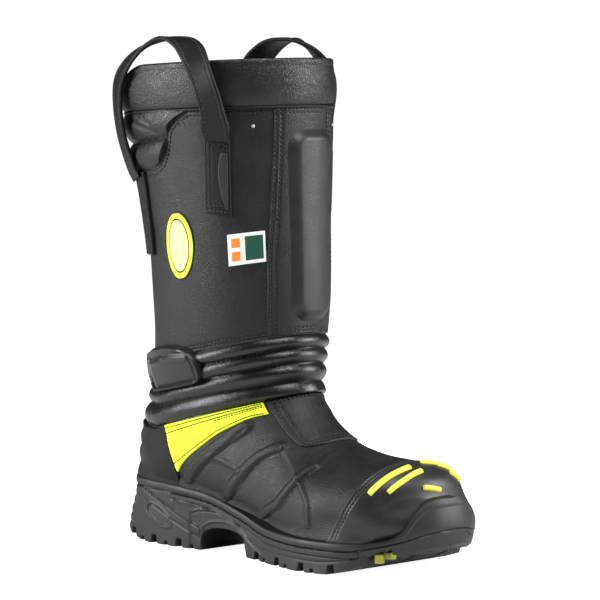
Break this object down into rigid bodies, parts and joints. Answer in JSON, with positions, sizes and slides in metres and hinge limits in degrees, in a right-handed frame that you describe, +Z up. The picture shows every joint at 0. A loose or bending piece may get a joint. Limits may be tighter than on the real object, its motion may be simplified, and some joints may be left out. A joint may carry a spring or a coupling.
{
  "type": "fire boot",
  "caption": "Pull-on structural firefighting boot for the right foot, with a safety toe, lugged sole, ankle flex zone, padded collar and folding pull loops.",
  "frame": {"origin": "on the ground plane under the waist of the foot, on the tread face of the forefoot", "axes": "+X towards the toe, +Y towards the wearer's other foot (medial side), -Y lateral side, +Z up"},
  "size_m": [0.3188, 0.149, 0.3807],
  "materials": {
    "sole_rubber": "matt moulded rubber",
    "yellow_rubber": "matt",
    "midsole_foam": "matt foam",
    "upper_leather": "full grain, waxed",
    "filler_foam": "felt",
    "shank_composite": "glass filled",
    "insole_fibreboard": "fibreboard",
    "puncture_textile": "woven aramid",
    "footbed_foam": "knit over foam",
    "toe_cap_composite": "moulded composite",
    "stiffener_board": "thermoplastic",
    "guard_rubber": "matt textured",
    "heel_cap_leather": "embossed",
    "yellow_coated_fabric": "coated, matt",
    "flex_leather": "soft grain",
    "padding_foam": "open cell",
    "lining_fabric": "knitted mesh",
    "shin_guard_leather": "moulded",
    "grain_leather": "wrinkled grain",
    "patch_rubber": "moulded, satin",
    "strap_webbing": "folded and stitched",
    "badge_reflective": "reflective",
    "label_fabric": "woven",
    "eyelet_metal": "black"
  },
  "bodies": {
    "foot": {"outsole": "sole_rubber", "tread_inserts": "yellow_rubber", "midsole": "midsole_foam", "vamp": "upper_leather", "bottom_filler": "filler_foam", "shank": "shank_composite", "insole_board": "insole_fibreboard", "puncture_plate": "puncture_textile", "footbed": "footbed_foam", "safety_toe_cap": "toe_cap_composite", "toe_cap_edge_strip": "filler_foam", "heel_stiffener": "stiffener_board", "toe_guard": "guard_rubber", "toe_guard_ribs": "yellow_rubber", "heel_cap": "heel_cap_leather", "side_flash_lateral": "yellow_coated_fabric", "side_flash_medial": "yellow_coated_fabric", "instep_panel": "upper_leather"},
    "shaft": {"flex_zone_leather": "flex_leather", "flex_zone_foam": "padding_foam", "lining": "lining_fabric", "shaft_insulation": "padding_foam", "shin_panel": "upper_leather", "shin_guard": "shin_guard_leather", "calf_stretch_panel": "grain_leather", "calf_foam": "padding_foam", "back_stay": "upper_leather", "ankle_patch_lateral": "patch_rubber", "ankle_patch_medial": "patch_rubber", "collar_leather": "grain_leather", "collar_foam": "padding_foam", "loop_tabs_lateral": "strap_webbing", "loop_tabs_medial": "strap_webbing", "shaft_badge_lateral": "badge_reflective", "shaft_badge_medial": "badge_reflective", "woven_label": "label_fabric", "vent_eyelets": "eyelet_metal", "shaft_side_lateral": "upper_leather", "shaft_side_medial": "upper_leather"},
    "lateral_loop": {"pull_loop_lateral": "strap_webbing"},
    "medial_loop": {"pull_loop_medial": "strap_webbing"}
  },
  "joints": [
    {"name": "ankle_flex", "type": "hinge", "parent": "foot", "child": "shaft", "pos_m": [-0.06, 0, 0.112], "axis": [0, 1, 0], "range_deg": [-8, 14], "stiffness_Nm_per_rad": 20, "deforming": ["flex_zone_leather", "flex_zone_foam", "lining"]},
    {"name": "lateral_loop_fold", "type": "hinge", "parent": "shaft", "child": "lateral_loop", "pos_m": [-0.07092, -0.05831, 0.28375], "axis": [0.9466, -0.0293, 0.3211], "range_deg": [0, 110], "stiffness_Nm_per_rad": 0.3},
    {"name": "medial_loop_fold", "type": "hinge", "parent": "shaft", "child": "medial_loop", "pos_m": [-0.07092, 0.05831, 0.28375], "axis": [-0.9466, -0.0293, -0.3211], "range_deg": [0, 110], "stiffness_Nm_per_rad": 0.3}
  ]
}
